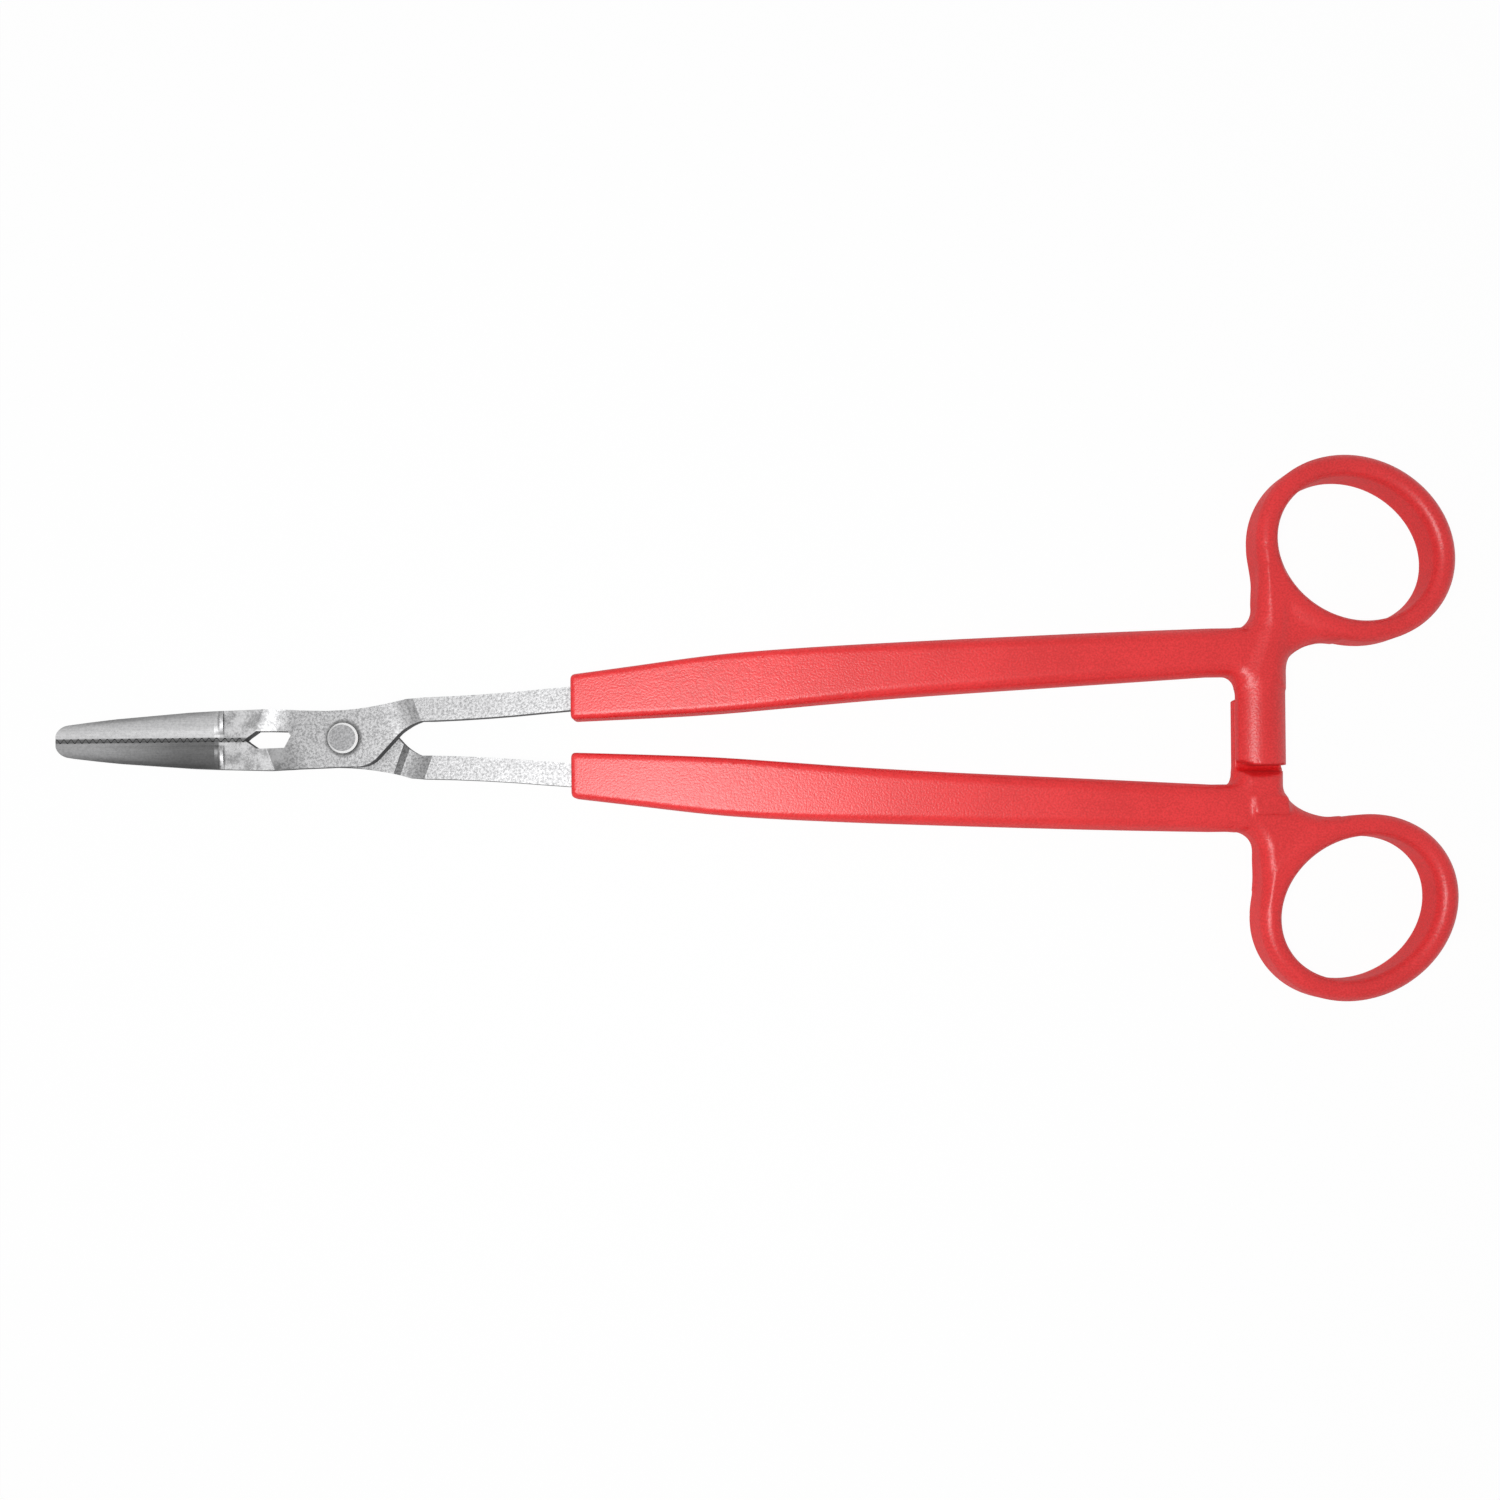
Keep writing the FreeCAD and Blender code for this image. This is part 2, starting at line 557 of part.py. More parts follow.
def make_handle(side, flipped, blade):
    """Make a moulded handle: root, tapering grip, ring, ratchet arm and stop, round the tang."""
    body = new_body(side + "_handle_form", flipped)

    root = new_sketch(body, side + "_root_outline", "XY_Plane")
    draw(root, root_outline())
    feature(body, "Pad", side + "_root", root, Length="grip_rear_thick", SideType="Symmetric")
    centre = Vector(number("ring_at"), number("ring_offset"), 0)
    start = number("grip_rear_at")
    foot = number("grip_rear_inner - root_round")

    def outside(middle):
        """Tell the root's free edges from those at its ends and inside the ring's rim."""
        reach = Vector(middle.x, middle.y, 0).distanceToPoint(centre)
        free = middle.x > start + SLACK and middle.y > foot + SLACK
        return free and reach > number("ring_short / 2 + ring_rim")

    round_edges(body, side + "_root_rounding", "z", "grip_rear_thick / 2", "grip_rear_corner", outside)

    sections = []
    for index, station in enumerate(("front", "early", "middle", "late", "rear"), start=1):
        cell = "grip_" + station
        section = new_sketch(body, f"{side}_grip_section_{index}", "YZ_Plane", (0, 0, cell + "_at"))
        draw(section, rounded_box(
            (cell + "_inner", f"-{cell}_thick / 2"),
            (cell + "_outer", f"{cell}_thick / 2"), cell + "_corner"))
        sections.append(section)
    doc.recompute()
    feature(body, "AdditiveLoft", side + "_grip", sections[0], Sections=sections[1:])
    round_edges(body, side + "_grip_end_rounding", "x", "grip_front_at", "grip_end_round",
                lambda middle: True)

    line = new_sketch(body, side + "_ring_line", "XY_Plane")
    draw_oval(line, ("ring_at", "ring_offset"), f"({RING_LONG} + ring_rim) / 2",
              "(ring_short + ring_rim) / 2", "ring_slant")
    rim = new_sketch(body, side + "_ring_section", "XZ_Plane",
                     ("ring_at", 0, "-ring_offset"), "ring_slant")
    draw(rim, rounded_box((f"{RING_LONG} / 2", "-ring_depth / 2"),
                          (f"{RING_LONG} / 2 + ring_rim", "ring_depth / 2"), "ring_corner"))
    feature(body, "AdditivePipe", side + "_ring", rim, Spine=(line, ["Edge1"]))

    arm = new_sketch(body, side + "_arm_section", "XZ_Plane", (0, 0, "arm_end"))
    draw(arm, arm_section("arm_at", "arm_width", "ring_depth / 2"))
    feature(body, "Pad", side + "_arm", arm,
            Length="grip_rear_inner + arm_end", Reversed=True)
    ridge = []
    stations = (
        ("grip_rear_inner", "arm_at", "arm_width"),
        ("ridge_offset", ring_point("180", "ring_rim / 2")[0], "ridge_width"),
    )
    for index, (offset, middle, width) in enumerate(stations, start=1):
        section = new_sketch(body, f"{side}_ridge_section_{index}", "XZ_Plane",
                             (0, 0, f"-({offset})"))
        draw(section, arm_section(middle, width, "ring_depth / 2"))
        ridge.append(section)
    doc.recompute()
    feature(body, "AdditiveLoft", side + "_ridge", ridge[0], Sections=ridge[1:])

    bevel = new_sketch(body, side + "_arm_bevel_outline", "XY_Plane")
    draw(bevel, [
        ("arm_at - arm_width / 2", "-arm_end"),
        ("arm_at - arm_width / 2 + arm_bevel_long", "-arm_end"),
        ("arm_at - arm_width / 2", "-arm_end + arm_bevel_short"),
    ])
    cut_feature(body, "Pocket", side + "_arm_bevel", bevel,
                Length="2 * ring_depth", SideType="Symmetric")

    catch = new_sketch(body, side + "_catch_outline", "YZ_Plane", (0, 0, "arm_at"))
    draw(catch, [
        ("-arm_end + catch_margin", "arm_gap / 2"),
        ("-arm_end + catch_margin + catch_pitch", "arm_gap / 2"),
        ("-arm_end + catch_margin", "arm_gap / 2 + catch_depth"),
    ])
    notch = cut_feature(body, "Pocket", side + "_catch_notch", catch,
                        Length="2 * arm_width", SideType="Symmetric")
    repeat(body, side + "_catches", notch, catch, "catch_pitch * (catch_count - 1)", "catch_count")

    stop = new_sketch(body, side + "_stop_profile", "YZ_Plane", (0, 0, "stop_at"))
    seat = "-grip_rear_thick / 2"
    draw(stop, [
        ("stop_offset", f"{seat} + stop_crest"),
        ("stop_offset", seat),
        ("stop_offset + stop_ramp", "-ring_depth / 2"),
        ("stop_offset + stop_ramp + stop_crest", "-ring_depth / 2"),
        ("stop_offset + stop_ramp + stop_crest", f"{seat} + stop_crest"),
    ])
    feature(body, "Pad", side + "_stop", stop, Length="stop_length", SideType="Symmetric")

    handle = doc.addObject("Part::Cut", side + "_handle")
    handle.Base = body
    handle.Tool = blade
    doc.recompute()
    return handle


def make_rivet():
    """Make the rivet: a plain shank between two low bevelled heads."""
    body = new_body("rivet", False)
    half = new_sketch(body, "rivet_profile", "XZ_Plane")
    seat = "steel + plate_gap / 2"
    front = f"{seat} + head_play"
    draw(half, [
        ("0", f"-({seat}) - rivet_rise"),
        ("rivet_head / 2 - rivet_bevel", f"-({seat}) - rivet_rise"),
        ("rivet_head / 2", f"-({seat}) - rivet_rise + rivet_bevel"),
        ("rivet_head / 2", f"-({seat})"),
        ("rivet_shank / 2", f"-({seat})"),
        ("rivet_shank / 2", front),
        ("rivet_head / 2", front),
        ("rivet_head / 2", f"{front} + rivet_rise - rivet_bevel"),
        ("rivet_head / 2 - rivet_bevel", f"{front} + rivet_rise"),
        ("0", f"{front} + rivet_rise"),
    ])
    feature(body, "Revolution", "rivet_turned", half, ReferenceAxis=(half, ["V_Axis"]), Angle=360.0)
    return body


# The front half turns on the rivet and the back half holds it.
front_blade = make_blade("front", False, "0", "rivet_shank / 2 + rivet_play")
back_blade = make_blade("back", True, "0.5", "rivet_shank / 2")
front_handle = make_handle("front", False, front_blade)
back_handle = make_handle("back", True, back_blade)
rivet = make_rivet()
doc.recompute()

SUBPARTS = {
    "front_blade": front_blade,
    "back_blade": back_blade,
    "front_handle": front_handle,
    "back_handle": back_handle,
    "rivet": rivet,
}

for item in doc.Objects:
    if "Invalid" in item.State or "Error" in item.State:
        raise RuntimeError(f"{item.Name} failed: {item.State}")
for label, item in SUBPARTS.items():
    if item.Shape.isNull() or not item.Shape.isValid() or len(item.Shape.Solids) != 1:
        raise RuntimeError(f"{label} isn't one valid solid")
for label, item in SUBPARTS.items():
    item.Label = label
    item.Shape.exportStep(f"parts/{label}.step")
    box = item.Shape.BoundBox
    print(f"{label}: {item.Shape.Volume:.1f} mm3, X {box.XMin:.2f} to {box.XMax:.2f}, "
          f"Y {box.YMin:.2f} to {box.YMax:.2f}, Z {box.ZMin:.2f} to {box.ZMax:.2f}")
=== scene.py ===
import bpy
import json
import numpy as np
from mathutils import Matrix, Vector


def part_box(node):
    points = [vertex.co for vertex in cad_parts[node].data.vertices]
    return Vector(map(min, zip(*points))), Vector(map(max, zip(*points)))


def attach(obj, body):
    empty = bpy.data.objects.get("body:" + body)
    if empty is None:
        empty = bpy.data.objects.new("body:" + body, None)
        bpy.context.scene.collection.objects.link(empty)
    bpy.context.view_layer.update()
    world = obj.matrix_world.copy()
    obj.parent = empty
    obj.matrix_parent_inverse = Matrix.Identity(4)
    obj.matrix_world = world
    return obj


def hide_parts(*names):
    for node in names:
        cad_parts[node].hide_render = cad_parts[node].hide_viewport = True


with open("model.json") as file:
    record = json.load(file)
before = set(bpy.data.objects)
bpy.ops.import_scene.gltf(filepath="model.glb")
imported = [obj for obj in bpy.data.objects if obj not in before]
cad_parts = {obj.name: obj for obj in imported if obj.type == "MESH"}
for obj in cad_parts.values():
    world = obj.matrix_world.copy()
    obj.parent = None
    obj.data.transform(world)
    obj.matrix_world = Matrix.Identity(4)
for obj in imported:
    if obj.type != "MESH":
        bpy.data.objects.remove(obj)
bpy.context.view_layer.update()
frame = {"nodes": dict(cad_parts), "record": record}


# Blades: two like halves, one turned over, each pressed from one steel strip with its jaw, raised
# pivot plate, shank and the tang inside its handle. Plates and shanks are grit blasted, the cheeks
# beside them are mottled, and the jaws are rubbed along their length. Places in millimetres.
pivot = np.array(frame["record"]["behaviour"]["joints"][0]["pos_m"])
jaw_from = (21.3, 21.7)
cheek_from = (9.4, 11.5)
teeth_from = (12.0, 14.0)
teeth_side = (0.2, 0.55)
seat_edge = (0.1, 0.9)
slope_side = (1.0, 5.0)
shade_along = (46.0, 25.0)
shade_across = (0.6, -0.6)
upright_level = (0.3, 0.75)
bend_level = (0.86, 0.995)
cloud_grains = 420.0
blast_grains = (2300.0, 6000.0)
rub_grains = (250.0, 5000.0, 2500.0)
blast_depth = 0.00006
dull_steel = (0.12, 0.12, 0.122, 1)
bright_steel = (0.58, 0.58, 0.585, 1)
# Painted shade: the colour that the bends, the teeth line, the rivet's seat and the lower jaw darken
# towards.
painted_shade_colour = (0.02, 0.02, 0.02, 1)
# Painted shade for the upright sheared edges, darker than the bare steel there.
edge_painted_shade = (0.1, 0.1, 0.103, 1)


class Wire:
    """A socket of a material, with the arithmetic that turns an expression into Math nodes."""

    def __init__(self, tree, socket):
        self.tree = tree
        self.socket = socket

    def node(self, kind, settings=None, output=0, **inputs):
        """Add a node of this kind: its settings first, then the values or links of its sockets."""
        item = self.tree.nodes.new(kind)
        for name, value in (settings or {}).items():
            setattr(item, name, value)
        for name, value in inputs.items():
            key = int(name[1:]) if name[0] == "_" else name.replace("_", " ")
            if isinstance(value, Wire):
                self.tree.links.new(value.socket, item.inputs[key])
            else:
                item.inputs[key].default_value = value
        return Wire(self.tree, item.outputs[output])

    def maths(self, operation, first, second=0.0):
        """Add one Math node."""
        return self.node("ShaderNodeMath", {"operation": operation}, _0=first, _1=second)

    def __add__(self, other):
        return self.maths("ADD", self, other)

    def __radd__(self, other):
        return self.maths("ADD", other, self)

    def __sub__(self, other):
        return self.maths("SUBTRACT", self, other)

    def __rsub__(self, other):
        return self.maths("SUBTRACT", other, self)

    def __mul__(self, other):
        return self.maths("MULTIPLY", self, other)

    def __rmul__(self, other):
        return self.maths("MULTIPLY", other, self)

    def __pow__(self, other):
        return self.maths("POWER", self, other)

    def __abs__(self):
        return self.maths("ABSOLUTE", self)

    def step(self, start, end):
        """Rise smoothly from 0 at start to 1 at end."""
        return self.node("ShaderNodeMapRange", {"interpolation_type": "SMOOTHSTEP"},
                         Value=self, From_Min=start, From_Max=end)

    def blend(self, first, second):
        """Go from the first colour to the second as this value goes from 0 to 1."""
        return self.node("ShaderNodeMix", {"data_type": "RGBA"}, 2, _0=self, _6=first, _7=second)

    def parts(self):
        """Give the three parts of a vector."""
        split = self.node("ShaderNodeSeparateXYZ", Vector=self).socket.node
        return [Wire(self.tree, socket) for socket in split.outputs]


def new_material(name, **constants):
    """Start a material with one shader, and give the place on the object as a wire."""
    material = bpy.data.materials.new(name)
    material.use_nodes = True
    tree = material.node_tree
    shader = tree.nodes["Principled BSDF"]
    for socket, value in constants.items():
        shader.inputs[socket.replace("_", " ")].default_value = value
    return material, shader, Wire(tree, tree.nodes.new("ShaderNodeTexCoord").outputs["Object"])


def connect(shader, **wires):
    """Feed sockets of the shader."""
    for socket, wire in wires.items():
        wire.tree.links.new(wire.socket, shader.inputs[socket.replace("_", " ")])


def noise(place, grains, detail, **more):
    """Add a cloudy pattern between 0 and 1, with this many grains to a metre."""
    return place.node("ShaderNodeTexNoise", Vector=place, Scale=grains, Detail=detail, **more)


def flatness(place):
    """Give 1 where the surface faces straight up or down and 0 where it stands upright."""
    return abs(place.node("ShaderNodeNewGeometry", output=1).parts()[2])


def steel_material():
    """Steel strip with a finish for each stretch, and painted shade on its upright sheared edges.

    A stretch is a mask along the distance in front of the rivet. Painted shade darkens the bends, the
    teeth line, the seat round the rivet's head and the lower jaw, each by a mask of its own. A jaw's
    face is made to lean by a height that falls with the distance from the middle line.
    """
    material, shader, place = new_material("blasted_steel", Metallic=1.0)
    x, y, _ = place.parts()
    front = (pivot[0] - x) * 1000
    side = y * 1000
    beside = abs(side)
    jaw = front.step(*jaw_from)
    cheek = front.step(*cheek_from) * (1.0 - jaw)
    level = flatness(place)
    upright = 1.0 - level.step(*upright_level)
    ramp = 1.0 - level.step(*bend_level)
    teeth = (1.0 - beside.step(*teeth_side)) * front.step(*teeth_from)
    rivet_low, rivet_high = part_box("rivet")
    head = (rivet_high[0] - rivet_low[0]) * 1000 / 2
    around = (front * front + side * side) ** 0.5
    seat = 1.0 - around.step(head + seat_edge[0], head + seat_edge[1])
    shade = 1.0 - (0.4 + 0.4 * front.step(*shade_along)) * side.step(*shade_across) * jaw

    cloud = noise(place, cloud_grains, 3.0)
    grit = (noise(place, blast_grains[0], 2.5, Roughness=0.65) * 0.7
            + noise(place, blast_grains[1], 1.0) * 0.3)
    stretched = place.node("ShaderNodeMapping", Vector=place, Scale=rub_grains)
    rubbed = noise(stretched, 1.0, 3.0)
    speckle = grit.step(0.36, 0.6)
    smooth = rubbed.step(0.25, 0.75)
    mottled = (cloud * 0.5 + grit * 0.5).step(0.38, 0.6)

    tone = ((0.13 + 0.36 * speckle) * (1.0 - jaw) * (1.0 - cheek)
            + (0.2 + 0.5 * mottled) * cheek + (0.65 + 0.15 * smooth + 0.2 * speckle) * jaw)
    # Painted shade: the bends, the teeth line, the seat round the rivet's head and the lower jaw are
    # darkened.
    unshaded = (1.0 - (0.3 + 0.25 * jaw) * ramp) * (1.0 - 0.75 * teeth) * (1.0 - 0.7 * seat) * shade
    colour = (1.0 - unshaded).blend(tone.blend(dull_steel, bright_steel), painted_shade_colour)
    slope = jaw * beside.step(*slope_side) * 20.0
    height = grit * (1.0 - 0.75 * jaw - 0.4 * cheek) + rubbed * jaw * 0.3 + cloud * cheek * 1.2
    bump = place.node("ShaderNodeBump", Height=height - slope, Strength=0.55,
                      Distance=blast_depth)
    # Upright faces, the sheared edges, take the painted edge shade.
    connect(shader, Base_Color=upright.blend(colour, edge_painted_shade),
            Roughness=0.42 + 0.12 * cloud - 0.05 * jaw + 0.3 * ramp, Normal=bump)
    return material


def dress(name, material):
    """Give a solid its material."""
    mesh = frame["nodes"][name].data
    mesh.materials.clear()
    mesh.materials.append(material)


steel = steel_material()
dress("back_blade", steel)
dress("front_blade", steel)


# Rivet: one steel pin through both plates, headed over on each side. The heads are turned flat with
# a bevel that carries a painted highlight. It is fast in the back blade, and the front blade turns on
# it.
head_steel = ((0.17, 0.17, 0.173, 1), (0.27, 0.27, 0.274, 1))
# Painted highlight for the bevel.
bevel_painted_highlight = (0.9, 0.9, 0.9, 1)
# Painted shade for the upright rim.
rim_painted_shade = (0.12, 0.12, 0.12, 1)
rim_level = (0.1, 0.3)
bevel_level = (0.3, 0.5)
face_level = (0.85, 0.95)
satin_grains = 3200.0
satin_depth = 0.00003


def rivet_material():
    """Satin steel with a fine grain, with a painted highlight on the bevel and painted shade round the
    rim.
    """
    material, shader, place = new_material("rivet_steel", Metallic=1.0)
    grain = noise(place, satin_grains, 3.0)
    level = flatness(place)
    bevelled = level.step(*bevel_level) * (1.0 - level.step(*face_level))
    # The bevel takes the painted highlight.
    colour = bevelled.blend(grain.step(0.3, 0.7).blend(*head_steel), bevel_painted_highlight)
    # The upright rim takes the painted shade.
    colour = (1.0 - level.step(*rim_level)).blend(colour, rim_painted_shade)
    bump = place.node("ShaderNodeBump", Height=grain, Strength=0.3, Distance=satin_depth)
    connect(shader, Base_Color=colour, Roughness=0.34 + 0.15 * grain, Normal=bump)
    return material


dress("rivet", rivet_material())


# Handles: two like mouldings of red plastic, one turned over, each moulded round its blade's tang,
# with fillets between grip, ratchet arm, stop and finger ring, and a fine spark-eroded grain. Sizes in
# millimetres: x runs back from the rivet, y outwards from the middle line, z up from the mid-plane.
grip_at = (38.7, 51.3, 63.4, 75.4, 93.5, 111.5, 129.6, 148.0)
grip_inner = (2.8, 3.28, 3.88, 4.8, 6.18, 7.25, 8.25, 9.3)
grip_outer = (10.5, 12.1, 13.58, 14.5, 15.45, 16.2, 16.87, 17.4)
grip_thick = (6.0, 6.2, 6.35, 6.5, 6.7, 6.75, 6.8, 6.8)
grip_corner = (1.0, 1.0, 1.0, 1.2, 1.7, 2.0, 2.3, 2.4)
grip_end_round = 0.7
grip_lap = 2.0

ring_centre = (172.6, 30.6)
ring_slant = np.radians(148)
ring_hole = (27.6, 23.3)
ring_rim = 3.65
ring_depth = 8.0
ring_corner = 1.8
ring_lap = 0.4
ring_melt = 1.3

root_from = 136.0
root_end = 157.2
root_thick = (6.8, 8.0)
root_rise = (17.4, 25.4)
root_corner = 2.4
root_round = 2.2
stem_from = 14.0
stem_edge = (156.1, 156.7)
stem_turn = (22.0, 30.0)
stem_round = 3.8
foot_inset = 0.4
foot_to = 16.0
web_hollow = (9.5, 5.7)
web_lap = 0.5

arm_at = 156.6
arm_width = 8.1
arm_end = 6.1
arm_gap = 0.3
arm_edge = 1.8
arm_lip = 0.15
arm_melt = 1.2
arm_bevel = (2.2, 0.9)
ridge_at = 158.6
ridge_width = 3.8
ridge_from = 9.3
ridge_narrow = 17.4
ridge_to = 27.0
catch_pitch = 2.2
catch_depth = 1.1
catch_count = 4
catch_margin = 0.9
catch_side = 1.5

stop_at = 157.6
stop_length = 5.6
stop_offset = 11.7
stop_ramp = 2.1
stop_crest = 0.6
stop_lap = 1.0
stop_corner = 0.4

skin_low = (37.5, -7.2, -5.1)
skin_high = (192.0, 50.0, 5.1)
skin_cell = 0.32
deep_red = (0.66, 0.007, 0.009, 1)
pale_red = (0.88, 0.023, 0.027, 1)
spark_grains = 3000.0
spark_depth = 0.00009
tint_grains = 90.0
side_level = (0.2, 0.8)


def curve(places, values, at):
    """Follow a natural cubic spline through the values and hold its ends."""
    places, values = np.array(places), np.array(values)
    step, rise = np.diff(places), np.diff(values)
    count = len(places)
    rows = np.eye(count)
    right = np.zeros(count)
    for index in range(1, count - 1):
        rows[index, index - 1:index + 2] = (step[index - 1], 2 * (step[index - 1] + step[index]),
                                            step[index])
        right[index] = 6 * (rise[index] / step[index] - rise[index - 1] / step[index - 1])
    bend = np.linalg.solve(rows, right)
    at = np.clip(at, places[0], places[-1])
    span = np.clip(np.searchsorted(places, at) - 1, 0, count - 2)
    before, after = at - places[span], places[span + 1] - at
    width = step[span]
    return ((bend[span] * after ** 3 + bend[span + 1] * before ** 3) / (6 * width)
            + (values[span] / width - bend[span] * width / 6) * after
            + (values[span + 1] / width - bend[span + 1] * width / 6) * before)


def climb(value, start, end):
    """Rise evenly from 0 at start to 1 at end."""
    return np.clip((value - start) / (end - start), 0, 1)


def slab(value, low, high):
    """Distance to the room between two values."""
    return np.maximum(low - value, value - high)


def oval(u, v, long, short):
    """Distance to an oval's line, less than 0 inside: the radius as a share of the oval's own,
    less 1, over the slope of that share.
    """
    share = np.hypot(u / long, v / short)
    return share * (share - 1) / np.maximum(np.hypot(u / long ** 2, v / short ** 2), 1e-9)


def both(first, second, corner=0.0):
    """Distance to what two shapes share, with its edge rounded to a corner radius."""
    first, second = first + corner, second + corner
    return (np.hypot(np.maximum(first, 0), np.maximum(second, 0))
            + np.minimum(np.maximum(first, second), 0) - corner)


def either(first, second, fillet):
    """Distance to two shapes together, with a round fillet of this radius between them."""
    return (np.maximum(fillet, np.minimum(first, second))
            - np.hypot(np.maximum(fillet - first, 0), np.maximum(fillet - second, 0)))


def melt(first, second, reach):
    """Distance to two shapes together, melted into each other where they are this close."""
    near = np.maximum(reach - np.abs(first - second), 0) / reach
    return np.minimum(first, second) - near ** 2 * reach / 4


def ring_line(x, y):
    """Distance to the middle line of the ring's rim, an oval turned by the ring's slant."""
    x, y = x - ring_centre[0], y - ring_centre[1]
    u = x * np.cos(ring_slant) + y * np.sin(ring_slant)
    v = y * np.cos(ring_slant) - x * np.sin(ring_slant)
    return oval(u, v, *((width + ring_rim) / 2 for width in ring_hole))


def root_distance(x, y, z, across, line):
    """Distance to the root, in which grip, ring and arm meet.

    Its outline is the grip's end, the stem of the ring and the foot of the arm, with round fillets,
    and a web with a quarter of an oval as its hollow edge. Its thickness rises to the ring's.
    """
    edge = arm_at + arm_width / 2 - foot_inset
    tail = both(across, slab(x, root_from, root_end))
    lean = stem_edge[0] + (stem_edge[1] - stem_edge[0]) * climb(y, *stem_turn)
    stem = both(slab(x, lean, edge), slab(y, stem_from, ring_centre[1]))
    foot = both(slab(x, arm_at - arm_width / 2 + foot_inset, edge),
                slab(y, ridge_from - root_round, foot_to))
    outline = np.minimum(either(tail, stem, stem_round), either(tail, foot, root_round))
    half_ring = np.hypot((ring_hole[0] / 2 + ring_rim) * np.sin(ring_slant),
                         (ring_hole[1] / 2 + ring_rim) * np.cos(ring_slant))
    hollow_x = edge + web_hollow[0]
    hollow_y = ring_centre[1] - half_ring - web_hollow[1] + web_lap
    web = np.maximum(-oval(x - hollow_x, y - hollow_y, *web_hollow),
                     np.maximum(slab(x, arm_at, hollow_x), slab(y, hollow_y, ring_centre[1])))
    outline = np.maximum(np.minimum(outline, web), -line - ring_lap)
    rise = climb(y, *root_rise)
    thick = root_thick[0] + (root_thick[1] - root_thick[0]) * rise ** 2 * (3 - 2 * rise)
    return both(outline, np.abs(z) - thick / 2, root_corner)


def arm_distance(x, y, z, line):
    """Distance to the ratchet arm.

    Its section is a D, flat inside, with low edges and an arc over its back. Over the root the D
    narrows to a ridge that runs into the ring. The teeth are ramps of one pitch each, cut into the
    flat side, and the corner of the arm's end is cut off on a slant.
    """
    narrow = climb(y, ridge_from, ridge_narrow)
    middle = arm_at + (ridge_at - arm_at) * narrow
    chord = (arm_width + (ridge_width - arm_width) * narrow) / 2
    bow = ring_depth / 2 - arm_gap / 2 - arm_edge
    radius = (chord ** 2 + bow ** 2) / (2 * bow)
    back = np.hypot(x - middle, z - (ring_depth / 2 - radius)) - radius
    arm = np.maximum(np.maximum(back, np.abs(x - middle) - chord), slab(y, -arm_end, ridge_to))
    turn = (y + arm_end - catch_margin) / catch_pitch
    toothed = ((turn > 0) & (turn < catch_count)
               & (np.abs(x - arm_at) < arm_width / 2 - catch_side))
    inside = arm_gap / 2 + np.where(toothed, catch_depth * (1 - turn % 1), 0)
    arm = both(arm, inside - z, arm_lip)
    share = (x - arm_at + arm_width / 2) / arm_bevel[0] + (y + arm_end) / arm_bevel[1]
    arm = np.maximum(arm, (1 - share) / np.hypot(1 / arm_bevel[0], 1 / arm_bevel[1]))
    return np.maximum(arm, -line - ring_lap)


def stop_distance(x, y, z):
    """Distance to the stop on the root's other side: a wedge that rises outwards to a crest."""
    seat = root_thick[0] / 2
    height = climb(y, stop_offset, stop_offset + stop_ramp) * (ring_depth / 2 - seat)
    side = np.maximum(slab(y, stop_offset, stop_offset + stop_ramp + stop_crest),
                      slab(-z, seat - stop_lap, seat + height))
    return both(slab(x, stop_at - stop_length / 2, stop_at + stop_length / 2), side, stop_corner)


def handle_distance(x, y, z):
    """Distance to the front handle, less than 0 inside.

    The grip is a rounded box whose section follows splines along x, and the ring a rounded box
    carried round an oval. Root, ring, arm and stop are melted into each other. Nothing stands past
    the level faces of the ring.
    """
    across = slab(y, curve(grip_at, grip_inner, x), curve(grip_at, grip_outer, x))
    thick, corner = curve(grip_at, grip_thick, x), curve(grip_at, grip_corner, x)
    grip = both(across, np.abs(z) - thick / 2, corner)
    grip = both(grip, slab(x, grip_at[0], grip_at[-1] + grip_lap), grip_end_round)
    line = ring_line(x, y)
    ring = both(np.abs(line) - ring_rim / 2, np.abs(z) - ring_depth / 2, ring_corner)
    body = melt(np.minimum(grip, root_distance(x, y, z, across, line)), ring, ring_melt)
    body = melt(body, arm_distance(x, y, z, line), arm_melt)
    body = melt(body, stop_distance(x, y, z), arm_melt)
    return np.maximum(body, np.abs(z) - ring_depth / 2)


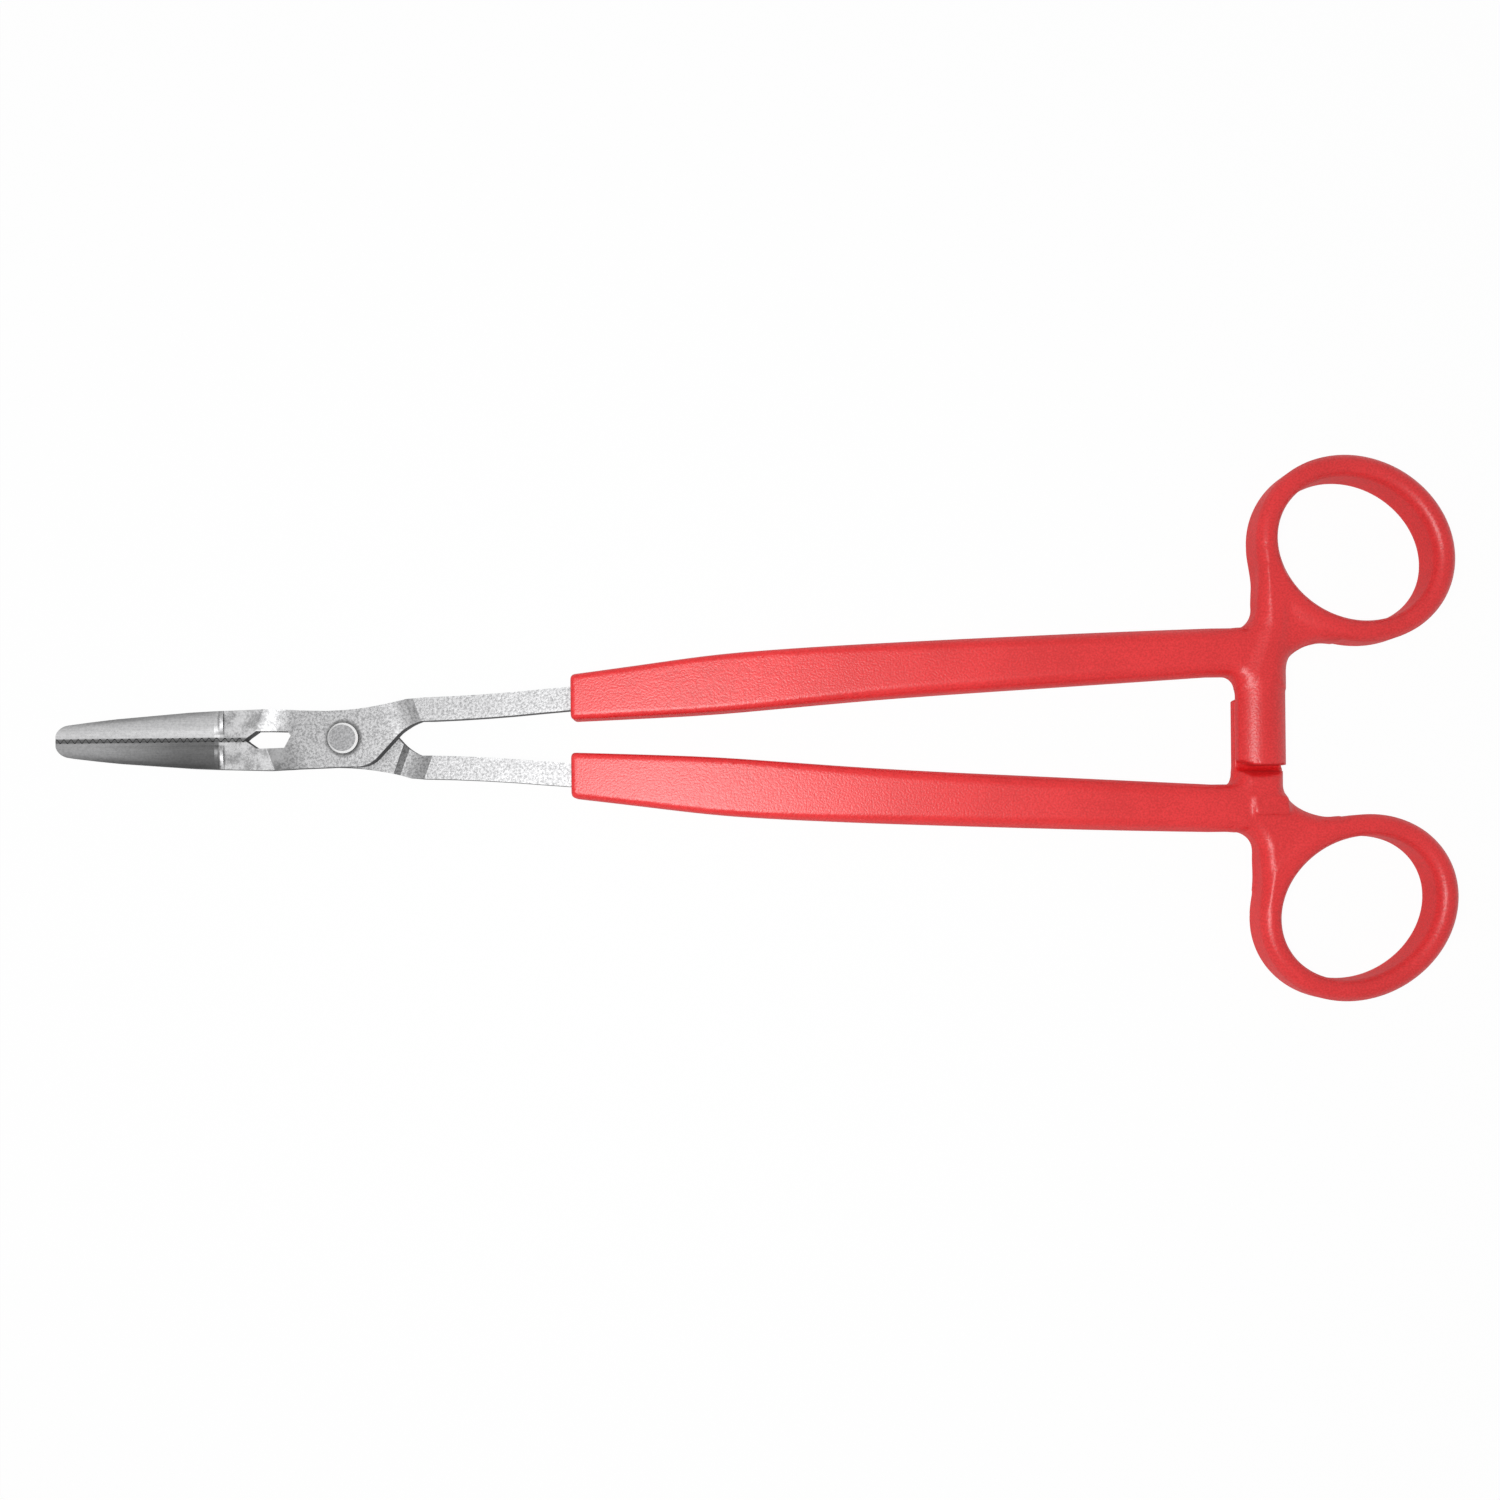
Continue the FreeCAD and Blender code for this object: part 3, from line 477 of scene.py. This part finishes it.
def skin(distance, low, high, cell):
    """Wrap a closed mesh round the place where a distance is zero.

    Every cell of a grid that the surface crosses gets one point, moved from its middle along the
    slope of the distance on to the surface. Every grid edge that pierces the surface joins the
    points of the four cells round it with one face, turned so that it faces outwards.
    """
    block = 32
    rounds = 6
    nudge = 0.02 * cell
    leash = 0.7 * cell
    least_slope = 0.3
    axes = [np.arange(start, end + cell, cell) for start, end in zip(low, high)]
    inside = np.empty([len(axis) for axis in axes], dtype=bool)
    for index in range(0, len(axes[0]), block):
        part = slice(index, index + block)
        inside[part] = distance(*np.meshgrid(axes[0][part], axes[1], axes[2], indexing="ij")) < 0
    corners = sum(inside[i:i - 1 or None, j:j - 1 or None, k:k - 1 or None].astype(np.int8)
                  for i in (0, 1) for j in (0, 1) for k in (0, 1))
    crossed = (corners > 0) & (corners < 8)
    number = np.full(crossed.shape, -1)
    number[crossed] = np.arange(np.count_nonzero(crossed))
    middle = np.stack([axis[place] + cell / 2 for axis, place in zip(axes, np.nonzero(crossed))])
    points = middle.copy()
    for _ in range(rounds):
        value = distance(*points)
        slope = np.stack([distance(*(points + nudge * unit[:, None])) - value
                          for unit in np.eye(3)]) / nudge
        points -= slope * value / np.maximum((slope ** 2).sum(0), least_slope)
        points = np.clip(points, middle - leash, middle + leash)
    faces = []
    for axis in range(3):
        turned = np.moveaxis(inside, axis, 0)
        cells = np.moveaxis(number, axis, 0)
        edge = turned[1:, 1:-1, 1:-1] != turned[:-1, 1:-1, 1:-1]
        outwards = turned[:-1, 1:-1, 1:-1][edge] != (axis == 1)
        around = np.stack([cells[:, :-1, :-1][edge], cells[:, 1:, :-1][edge],
                           cells[:, 1:, 1:][edge], cells[:, :-1, 1:][edge]], axis=1)
        around[~outwards] = around[~outwards][:, ::-1]
        faces.append(around)
    return points.T, np.concatenate(faces)


def new_piece(name, points, faces, material):
    """Make an object at the origin from points and faces, with smooth shading."""
    mesh = bpy.data.meshes.new(name)
    mesh.from_pydata(points.tolist(), [], faces.tolist())
    mesh.polygons.foreach_set("use_smooth", np.ones(len(faces), dtype=bool))
    mesh.materials.append(material)
    mesh.update()
    piece = bpy.data.objects.new(name, mesh)
    bpy.context.scene.collection.objects.link(piece)
    return piece


def plastic_material():
    """Matt red plastic with a fine moulded grain, a little duller on its upright sides."""
    material, shader, place = new_material("red_plastic", IOR=1.5, Specular_IOR_Level=0.65)
    grain = noise(place, spark_grains, 2.0)
    tint = noise(place, tint_grains, 2.0)
    upright = 1.0 - flatness(place).step(*side_level)
    colour = (grain * 0.7 + tint * 0.3).step(0.32, 0.68).blend(deep_red, pale_red)
    bump = place.node("ShaderNodeBump", Height=grain, Strength=0.55, Distance=spark_depth)
    connect(shader, Base_Color=colour, Roughness=0.34 + 0.08 * grain + 0.3 * upright, Normal=bump)
    return material


plastic = plastic_material()
points, faces = skin(handle_distance, skin_low, skin_high, skin_cell)
for side, turned in (("back", (1, -1, -1)), ("front", (1, 1, 1))):
    piece = new_piece(side + "_moulding", pivot + points * turned / 1000, faces, plastic)
    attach(piece, side + "_half")
    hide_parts(side + "_handle")


# Stage: a plain pale table that shows white, a small lamp beside the lens, and a soft even room.
# The table still takes the object's shadow, because it keeps a little of its own shading.
floor_size = 4.0
floor_level = -0.00005
floor_white = 0.97
room_light = 0.37
room_white = 0.97
lamp_place = (-0.0375, -0.025, 0.25)
lamp_size = 0.06
lamp_power = 0.42


def direct_rays(tree):
    """Give 1 for what the lens sees itself, or in a reflection, or through a clear piece."""
    rays = tree.nodes.new("ShaderNodeLightPath").outputs
    return (Wire(tree, rays["Is Camera Ray"]) + Wire(tree, rays["Is Glossy Ray"])
            + Wire(tree, rays["Is Transmission Ray"]))


table, shader, place = new_material("table", Base_Color=(0.9, 0.9, 0.9, 1), Roughness=0.8,
                                    Specular_IOR_Level=0.1)
glow = place.node("ShaderNodeEmission", Color=(1, 1, 1, 1), Strength=1.0)
mixed = place.node("ShaderNodeMixShader", _0=direct_rays(place.tree) * floor_white,
                   _1=Wire(place.tree, shader.outputs[0]), _2=glow)
place.tree.links.new(mixed.socket, place.tree.nodes["Material Output"].inputs["Surface"])
corners = np.array([(-1, -1, 0), (1, -1, 0), (1, 1, 0), (-1, 1, 0)]) * floor_size / 2
floor = new_piece("floor", corners + (0, 0, floor_level), np.array([(0, 1, 2, 3)]), table)

world = bpy.data.worlds.new("room")
bpy.context.scene.world = world
world.use_nodes = True
background = world.node_tree.nodes["Background"]
background.inputs["Color"].default_value = (1, 1, 1, 1)
room = room_light + (room_white - room_light) * direct_rays(world.node_tree)
world.node_tree.links.new(room.socket, background.inputs["Strength"])

lamp_data = bpy.data.lights.new("flash", "AREA")
lamp_data.size = lamp_size
lamp_data.energy = lamp_power
lamp = bpy.data.objects.new("flash", lamp_data)
lamp.location = lamp_place
bpy.context.scene.collection.objects.link(lamp)


# Camera: straight above the table, beside the back handle's ratchet arm. Its picture is level, and
# the frame is shifted to take the whole object in. Pixels are the photograph's: the object's middle
# and the spot straight below the lens.
metres_per_px = 0.000172
camera_height = 0.240
camera_roll = np.radians(-0.58)
middle_px = (756.6, 735.4)
below_px = (742.0, 865.0)
picture_px = 1500
sensor_mm = 36.0

right = np.array((np.cos(camera_roll), np.sin(camera_roll), 0))
up = np.array((-np.sin(camera_roll), np.cos(camera_roll), 0))
place = (right * (below_px[0] - middle_px[0]) - up * (below_px[1] - middle_px[1])) * metres_per_px
place[2] = pivot[2] + camera_height
camera_data = bpy.data.cameras.new("camera")
camera_data.sensor_width = sensor_mm
camera_data.lens = camera_height / metres_per_px / picture_px * sensor_mm
camera_data.shift_x = 0.5 - below_px[0] / picture_px
camera_data.shift_y = below_px[1] / picture_px - 0.5
camera_data.clip_start = 0.01
camera = bpy.data.objects.new("camera", camera_data)
camera.matrix_world = Matrix((right, up, (0, 0, 1))).transposed().to_4x4()
camera.location = place
bpy.context.scene.collection.objects.link(camera)
bpy.context.scene.camera = camera
bpy.context.scene.view_settings.view_transform = "Standard"
